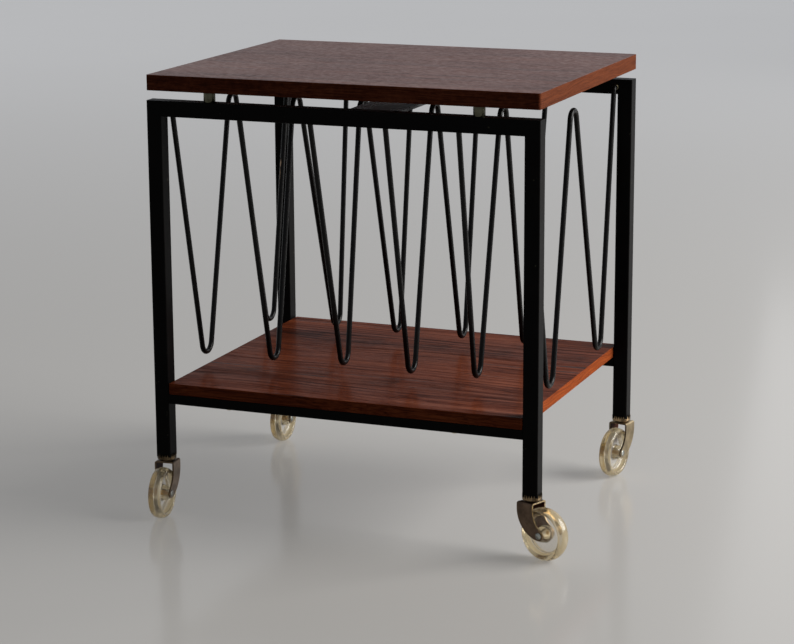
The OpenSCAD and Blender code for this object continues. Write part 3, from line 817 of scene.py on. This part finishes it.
def fork_sheet(caster):
    """The fork's outer face as a grid of columns from front to back, marked where its edges are worn."""
    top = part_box("caster_fork_front_left")[1].z
    axle_height = JOINTS["wheel_spin_front_left"]["pos_m"][2]
    foot = axle_height - caster.arm_end
    # Columns near the edges, closer together where the arm is narrow, and even ones between them
    margins = (0.0, 0.35 * MM, 0.8 * MM, 1.4 * MM)
    narrowest = 0.12
    gaps = 6
    edge_wear = (0.9, 0.3) + (0.0,) * (gaps + 3) + (0.3, 0.9)
    foot_wear = 1.2 * MM
    shape = bmesh.new()
    rim = shape.verts.layers.float.new("rim")
    rows = []
    for y, z in fork_path(caster, top, axle_height):
        first, last = fork_edges(caster, z, top, axle_height)
        width = last - first
        near = [min(margin, width * narrowest * step) for step, margin in enumerate(margins)]
        inner = [near[-1] + (width - 2 * near[-1]) * step / gaps for step in range(1, gaps)]
        columns = near + inner + [width - margin for margin in reversed(near)]
        low = max(0.0, 1 - (z - foot) / foot_wear)
        row = []
        for column, wear in zip(columns, edge_wear):
            vert = shape.verts.new((first + column, y, z))
            vert[rim] = max(wear, low)
            row.append(vert)
        rows.append(row)
    for row, after in zip(rows, rows[1:]):
        for step in range(len(row) - 1):
            shape.faces.new((row[step], row[step + 1], after[step + 1], after[step]))
    bmesh.ops.remove_doubles(shape, verts=shape.verts, dist=2e-6)
    bmesh.ops.recalc_face_normals(shape, faces=shape.faces)
    plate = [face for face in shape.faces if abs(face.calc_center_median().y) < caster.fork_width / 4]
    if sum(face.normal.z for face in plate) < 0:
        bmesh.ops.reverse_faces(shape, faces=shape.faces)
    return plain_mesh(shape, "fork_sheet")


def fork_mesh(caster, outside, inside):
    """The fork as folded sheet metal: its outer face, then its thickness and its eased edges."""
    sheet = fork_sheet(caster)
    sheet.materials.append(outside)
    sheet.materials.append(inside)
    holder = add_object("holder", sheet)
    wall = holder.modifiers.new("wall", "SOLIDIFY")
    wall.thickness = caster.fork_sheet
    wall.offset = -1.0
    wall.use_even_offset = True
    # The inner faces take the fork's second material, which is painted shade.
    wall.material_offset = 1
    wall.material_offset_rim = 0
    sharp_degrees = 50
    rounding = holder.modifiers.new("rounding", "BEVEL")
    rounding.width = 0.28 * MM
    rounding.segments = 2
    rounding.limit_method = "ANGLE"
    rounding.angle_limit = math.radians(sharp_degrees)
    return smoothed(evaluated_mesh(holder, "caster_fork"), sharp_degrees)


def axle_mesh(caster):
    """A riveted axle with two domed heads."""
    half, head = caster.fork_width / 2, caster.rivet / 2
    side = [(AXLE_RADIUS, half), (head, half)]
    side += arc((0.0, half), head, 0, 90, 12, caster.rivet_height)[1:]
    shape = bmesh.new()
    lathe(shape, [(r, -h) for r, h in reversed(side)] + side, steps=64)
    return turned_mesh(shape, "caster_axle")


def ring_mesh(name, inner, outer, low, high, chamfer):
    """A plain turned ring with eased outer edges."""
    profile = [(inner, low), (outer - chamfer, low)]
    profile += arc((outer - chamfer, low + chamfer), chamfer, -90, 0, 4)[1:]
    profile += arc((outer - chamfer, high - chamfer), chamfer, 0, 90, 4) + [(inner, high)]
    shape = bmesh.new()
    lathe(shape, profile, closed=True)
    return turned_mesh(shape, name)


def teeth_tree():
    """Repeats one tooth round the Z axis."""
    tree = Modelling("Ring of teeth", [("Count", "NodeSocketInt")])
    count = tree.input("Count")
    points = tree.node("GeometryNodePoints", None, {"Count": count})
    number = tree.node("GeometryNodeInputIndex")
    turn = tree.node("ShaderNodeCombineXYZ", None, {"Z": number * math.tau / count})
    rotation = tree.node("FunctionNodeEulerToRotation", None, {"Euler": turn})
    ring = tree.node("GeometryNodeInstanceOnPoints", None, {
        "Points": points, "Instance": tree.input("Geometry"), "Rotation": rotation})
    return tree.finish(ring)


def tooth_mesh(radius, wall, low, high, count):
    """One pointed tooth of the crown, standing across the X axis."""
    fullness, tip_share, inner_share = 0.84, 0.06, 0.92
    half = fullness * radius * math.sin(math.pi / count)
    tip = tip_share * half
    section = [(-half, low), (half, low), (tip, high), (-tip, high)]
    shape = bmesh.new()
    outer, inner = [], []
    for y, z in section:
        x = math.sqrt(radius ** 2 - y ** 2)
        outer.append(shape.verts.new((x, y, z)))
        inner.append(shape.verts.new((x - wall, y * inner_share, z)))
    shape.faces.new(outer)
    shape.faces.new(list(reversed(inner)))
    for step in range(4):
        after = (step + 1) % 4
        shape.faces.new((outer[after], outer[step], inner[step], inner[after]))
    bmesh.ops.recalc_face_normals(shape, faces=shape.faces)
    return plain_mesh(shape, "tooth")


def socket_mesh(caster, tree, material):
    """The crown and its sleeve, turned about the swivel axis, with a ring of pointed teeth."""
    low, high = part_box("caster_socket_front_left")
    leg_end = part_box("leg_front_left")[0].z
    radius = (high.x - low.x) / 2
    wall, easing, root = 0.9 * MM, 0.5 * MM, 0.3 * MM
    sleeve = SOCKET_BORE + wall
    seat = leg_end - 0.05 * MM
    tooth_top = leg_end + 2.6 * MM
    tooth_foot = tooth_top - 3.8 * MM
    profile = [(SOCKET_BORE, low.z), (radius - easing, low.z)]
    profile += arc((radius - easing, low.z + easing), easing, -90, 0, 5)[1:]
    profile += [(radius, tooth_foot), (radius - wall, tooth_foot), (radius - wall, seat)]
    profile += [(sleeve, seat), (sleeve, high.z), (SOCKET_BORE, high.z)]
    body = bmesh.new()
    lathe(body, profile, closed=True)
    tooth = tooth_mesh(radius, wall, tooth_foot - root, tooth_top, caster.teeth)
    body.from_mesh(through_tree(tooth, tree, {"Count": caster.teeth, "Material": material}, "teeth"))
    return turned_mesh(body, "caster_socket", sharp_degrees=30.0)


# Stage


def place_camera():
    """Camera that looks at the rack as the photograph does."""
    azimuth, elevation, roll = (math.radians(angle) for angle in (21.679, 13.281, -0.314))
    target = Vector((-3.094, 0.0, 202.858)) * MM
    distance = 2760.670 * MM
    back = Vector((math.sin(azimuth) * math.cos(elevation), -math.cos(azimuth) * math.cos(elevation),
                   math.sin(elevation)))
    right = Vector((0.0, 0.0, 1.0)).cross(back).normalized()
    up = back.cross(right)
    turned_right = right * math.cos(roll) + up * math.sin(roll)
    turned_up = up * math.cos(roll) - right * math.sin(roll)
    data = bpy.data.cameras.new("photo_camera")
    data.sensor_fit = "HORIZONTAL"
    data.sensor_width = 36.0
    data.lens = 108.98
    data.clip_end = 100.0
    camera = add_object("photo_camera", data)
    place = Matrix((turned_right, turned_up, back)).transposed().to_4x4()
    place.translation = target + back * distance
    camera.matrix_world = place
    bpy.context.scene.camera = camera


def seen_ray(graph):
    """1 for rays that the camera, gloss or glass sends out."""
    camera, glossy, glass = (graph.node("ShaderNodeLightPath", output=name) for name in (
        "Is Camera Ray", "Is Glossy Ray", "Is Transmission Ray"))
    return camera.larger(glossy).larger(glass)


def floor_material(stage):
    """Pale, slightly glossy floor. Part of its seen tone is its own, so that it stays pale far away."""
    shader = Shader("studio_floor")
    point = shader.coordinates()
    away = shader.node("ShaderNodeVectorMath", {"operation": "LENGTH"}, {0: point}, output="Value")
    tone = shader.mix(away.smooth(0.6, 5.0), stage.floor, stage.far_floor)
    cloud = shader.noise(point, 0.8)
    pale = shader.mix(cloud.smooth(0.3, 0.7) * 0.05, tone, stage.floor)
    values = {"Base Color": pale, "Roughness": 0.16, "Specular IOR Level": 0.3,
              "Emission Color": pale, "Emission Strength": stage.floor_glow}
    seen = shader.node("ShaderNodeBsdfPrincipled", None, values)
    thrown = shader.node("ShaderNodeBsdfDiffuse", None, {"Color": as_colour(toned(stage.floor, 0.6))})
    surface = shader.node("ShaderNodeMixShader", None, {0: seen_ray(shader), 1: thrown, 2: seen})
    shader.node("ShaderNodeOutputMaterial", None, {"Surface": surface}, output=None)
    return shader.material


def sky(stage):
    """Plain sky: dim for the light that it gives, pale where it is seen or mirrored."""
    world = bpy.data.worlds.new("studio_sky")
    world.use_nodes = True
    world.node_tree.nodes.clear()
    graph = Graph(world.node_tree)
    seen = graph.node("ShaderNodeBackground", None, {"Color": as_colour(stage.backdrop), "Strength": 1.0})
    daylight = (0.95, 0.98, 1.0, 1.0)
    light = graph.node("ShaderNodeBackground", None, {"Color": daylight, "Strength": stage.fill})
    both = graph.node("ShaderNodeMixShader", None, {0: seen_ray(graph), 1: light, 2: seen})
    graph.node("ShaderNodeOutputWorld", None, {"Surface": both}, output=None)
    bpy.context.scene.world = world


def soft_light(name, place, aim, size, power, tint):
    """A large soft lamp that is aimed at a point and isn't seen through the clear wheels."""
    data = bpy.data.lights.new(name, "AREA")
    data.shape = "RECTANGLE"
    data.size, data.size_y = size
    data.energy = power
    data.color = tint
    lamp = add_object(name, data)
    lamp.location = place
    lamp.visible_transmission = False
    lamp.rotation_euler = (Vector(aim) - Vector(place)).to_track_quat("-Z", "Y").to_euler()


# Operators


class RACK_OT_boards(bpy.types.Operator):
    """Finishes the top board and the shelf in teak"""

    bl_idname = "rack.boards"
    bl_label = "Teak boards"
    bl_options = {"REGISTER", "UNDO"}

    def execute(self, context):
        wood = context.scene.rack_wood
        top = [(0.25, wood.top_dark), (0.5, wood.top_mid), (0.78, wood.top_light)]
        shelf = [(0.25, wood.shelf_dark), (0.5, wood.shelf_mid), (0.75, wood.shelf_light)]
        top_end = [(0.2, wood.top_dark), (0.6, wood.top_end)]
        shelf_end = [(0.3, wood.shelf_mid), (0.65, wood.shelf_end)]
        dress(["top_board"], teak("teak_top", wood, top, top_end, streaks=1.3, mottle=1.0,
                                  sheen=wood.top_sheen, polish=wood.top_polish))
        dress(["shelf_board"], teak("teak_shelf", wood, shelf, shelf_end, streaks=1.6, mottle=0.15,
                                    sheen=wood.shelf_sheen, polish=wood.shelf_polish))
        return {"FINISHED"}


class RACK_OT_steel_frame(bpy.types.Operator):
    """Finishes the legs, rails, tie bar and leg plugs"""

    bl_idname = "rack.steel_frame"
    bl_label = "Steel frame"
    bl_options = {"REGISTER", "UNDO"}

    def execute(self, context):
        steel = context.scene.rack_steel
        black = lacquer("black_lacquer", steel.lacquer, steel.lacquer_roughness, gloss=0.03)
        dress(["front_top_rail", "back_top_rail", "front_lower_rail", "back_lower_rail"], black)
        dress(corner_nodes("leg"), black)
        dress(["tie_bar"], lacquer("glossy_lacquer", steel.lacquer, roughness=0.28, gloss=0.4))
        dress(corner_nodes("leg_plug"), matt_plastic("plug_plastic", (0.30, 0.19, 0.10)))
        return {"FINISHED"}


class RACK_OT_dividers(bpy.types.Operator):
    """Bends the wire dividers and brazes them to the rails"""

    bl_idname = "rack.dividers"
    bl_label = "Wire dividers"
    bl_options = {"REGISTER", "UNDO"}

    def execute(self, context):
        wire, steel = context.scene.rack_wire, context.scene.rack_steel
        material = wire_lacquer("black_wire", steel.lacquer, steel.wire_roughness)
        tree = wire_tree()
        values = {"Wire radius": wire.diameter / 2, "Facets": wire.facets, "Bend steps": BEND_STEPS,
                  "Material": material}
        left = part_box("leg_front_left")[1].x + wire.inset
        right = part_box("leg_front_right")[0].x - wire.inset
        for number, node in enumerate(DIVIDERS):
            x = left + (right - left) * number / (len(DIVIDERS) - 1)
            line = divider_line(x, wire, WIRE_SHIFTS[number])
            mesh = through_tree(line, tree, values, f"wire_{node}")
            make_piece(f"wire_{node}", mesh, "rack", node)
        return {"FINISHED"}


class RACK_OT_fixings(bpy.types.Operator):
    """Makes the brass spacers and finishes the wood screws"""

    bl_idname = "rack.fixings"
    bl_label = "Spacers and screws"
    bl_options = {"REGISTER", "UNDO"}

    def execute(self, context):
        # The spacers' brass is aged, and darkened further as painted shade where it sits between the board
        # and the rail.
        brass = metal("aged_brass", (0.085, 0.082, 0.055), (0.04, 0.038, 0.025), 0.22, blotch=90.0)
        for corner in CORNERS:
            node = f"board_spacer_{corner}"
            size = node_size(node)
            ring = ring_mesh("spacer", SPACER_BORE, size.x / 2, -size.z / 2, size.z / 2, 0.35 * MM)
            ring = placed(ring, Matrix.Translation(node_centre(node)))
            make_piece(f"brass_spacer_{corner}", ring, "rack", node, brass)
        steel = metal("screw_steel", (0.62, 0.55, 0.38), (0.33, 0.28, 0.18), 0.3)
        dress(["board_screws", "shelf_screws"], steel)
        return {"FINISHED"}


class RACK_OT_sockets(bpy.types.Operator):
    """Turns the toothed brass sockets at the legs' ends"""

    bl_idname = "rack.sockets"
    bl_label = "Toothed sockets"
    bl_options = {"REGISTER", "UNDO"}

    def execute(self, context):
        caster = context.scene.rack_caster
        tree = teeth_tree()
        # The sockets' brass is darkened per corner as painted shade: most at the front left, less at the
        # front right, not at the back.
        painted_shade_shares = (0.30, 0.62, 1.0, 1.0)
        for corner, bright in zip(CORNERS, painted_shade_shares):
            tone = toned(caster.brass, bright)
            brass = metal(f"caster_brass_{corner}", tone, toned(tone, 0.28), 0.28, blotch=160.0)
            leg = JOINTS[f"swivel_{corner}"]["pos_m"]
            place = Matrix.Translation((leg[0], leg[1], 0.0))
            crown = placed(socket_mesh(caster, tree, brass), place)
            make_piece(f"toothed_socket_{corner}", crown, "rack", f"caster_socket_{corner}",
                       brass)
        return {"FINISHED"}


class RACK_OT_forks(bpy.types.Operator):
    """Folds the forks, makes their washers and riveted axles and finishes their stems"""

    bl_idname = "rack.forks"
    bl_label = "Caster forks"
    bl_options = {"REGISTER", "UNDO"}

    def execute(self, context):
        caster = context.scene.rack_caster
        # The inner faces of each fork take a dull dark red-brown as painted shade inside its fold.
        inside = metal("fork_inside", (0.075, 0.024, 0.014), (0.035, 0.011, 0.007), 0.5, blotch=90.0,
                       patina=1.0)
        # The washers' brass is darkened as painted shade where they sit between crown and fork.
        dark = metal("dark_brass", (0.20, 0.13, 0.07), (0.06, 0.038, 0.020), 0.38, blotch=110.0)
        bright = metal("bright_steel", (0.42, 0.43, 0.39), (0.15, 0.155, 0.14), 0.24, blotch=200.0)
        # Painted light per corner: the front forks are darkened as painted shade, the back forks are paler as
        # painted light, and the front right fork's edges are lighter as a painted highlight.
        lit_and_shaded_tones = (caster.left_fork_shaded, caster.right_fork_shaded, caster.back_fork_lit, caster.back_fork_lit)
        rims = (caster.dull_rim, caster.bright_rim_highlit, caster.dull_rim, caster.dull_rim)
        axle = axle_mesh(caster)
        for corner, tone, rim in zip(CORNERS, lit_and_shaded_tones, rims):
            body, place = f"caster_{corner}", caster_place(corner)
            bronze = metal(f"bronzed_steel_{corner}", tone, toned(tone, 0.55), 0.38, blotch=70.0, rim=rim)
            fork = placed(fork_mesh(caster, bronze, inside), place)
            make_piece(f"folded_fork_{corner}", fork, body, f"caster_fork_{corner}")
            low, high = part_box(f"caster_washer_{corner}")
            washer = ring_mesh("washer", WASHER_BORE, (high.x - low.x) / 2, low.z, high.z, 0.5 * MM)
            make_piece(f"swivel_washer_{corner}", placed(washer, place), body,
                       f"caster_washer_{corner}", dark)
            make_piece(f"riveted_axle_{corner}", placed(axle, axle_place(corner)), body,
                       f"caster_axle_{corner}", bright)
        dress(corner_nodes("caster_stem"), bright)
        return {"FINISHED"}


class RACK_OT_wheels(bpy.types.Operator):
    """Turns the clear amber wheels and finishes their brass bushes"""

    bl_idname = "rack.wheels"
    bl_label = "Caster wheels"
    bl_options = {"REGISTER", "UNDO"}

    def execute(self, context):
        caster = context.scene.rack_caster
        plastic = clear_amber("amber_plastic", caster.plastic)
        wheel = wheel_mesh(caster)
        for corner in CORNERS:
            make_piece(f"amber_wheel_{corner}", placed(wheel, axle_place(corner)), f"wheel_{corner}",
                       f"caster_wheel_{corner}", plastic)
        brass = metal("bush_brass", (0.60, 0.42, 0.18), (0.32, 0.21, 0.09), 0.3, blotch=120.0)
        dress(corner_nodes("caster_bush"), brass)
        return {"FINISHED"}


class RACK_OT_stage(bpy.types.Operator):
    """Lays the pale floor and sets the soft lights, the sky and the camera"""

    bl_idname = "rack.stage"
    bl_label = "Studio"
    bl_options = {"REGISTER", "UNDO"}

    def execute(self, context):
        scene = context.scene
        stage = scene.rack_stage
        half = 40.0
        corners = [(-half, -half, 0), (half, -half, 0), (half, half, 0), (-half, half, 0)]
        mesh = bpy.data.meshes.new("studio_floor")
        mesh.from_pydata(corners, [], [(0, 1, 2, 3)])
        mesh.materials.append(floor_material(stage))
        add_object("studio_floor", mesh)
        sky(stage)
        soft_light("key_light", place=(2.7, 0.8, 1.5), aim=(0, 0, 0.25), size=(2.4, 2.0), power=stage.key,
                   tint=(1.0, 0.985, 0.96))
        soft_light("back_panel", place=(1.0, 3.2, 1.5), aim=(0, 0, 0.5), size=(3.2, 1.8), power=stage.glow,
                   tint=(0.97, 0.98, 1.0))
        scene.view_settings.view_transform = "Standard"
        place_camera()
        return {"FINISHED"}


OPERATORS = (RACK_OT_boards, RACK_OT_steel_frame, RACK_OT_dividers, RACK_OT_fixings, RACK_OT_sockets,
             RACK_OT_forks, RACK_OT_wheels, RACK_OT_stage)


class RACK_PT_panel(bpy.types.Panel):
    """Lists the settings and the steps that build the rack's looks"""

    bl_idname = "RACK_PT_panel"
    bl_label = "Rolling magazine rack"
    bl_space_type = "VIEW_3D"
    bl_region_type = "UI"
    bl_category = "Rack"

    def draw(self, context):
        for name, group in GROUPS.items():
            box = self.layout.box()
            box.label(text=group.__doc__)
            for setting in group.__annotations__:
                box.prop(getattr(context.scene, name), setting)
        for operator in OPERATORS:
            self.layout.operator(operator.bl_idname)


def register():
    """Adds the settings, the operators and the panel to Blender."""
    for name, group in GROUPS.items():
        bpy.utils.register_class(group)
        setattr(bpy.types.Scene, name, PointerProperty(type=group))
    for made in OPERATORS + (RACK_PT_panel,):
        bpy.utils.register_class(made)


def unregister():
    """Takes them away again."""
    for made in (RACK_PT_panel,) + tuple(reversed(OPERATORS)):
        bpy.utils.unregister_class(made)
    for name, group in reversed(GROUPS.items()):
        delattr(bpy.types.Scene, name)
        bpy.utils.unregister_class(group)


def main():
    """Builds every piece in order."""
    register()
    bpy.ops.rack.boards()
    bpy.ops.rack.steel_frame()
    bpy.ops.rack.dividers()
    bpy.ops.rack.fixings()
    bpy.ops.rack.sockets()
    bpy.ops.rack.forks()
    bpy.ops.rack.wheels()
    bpy.ops.rack.stage()


if __name__ == "__main__":
    main()
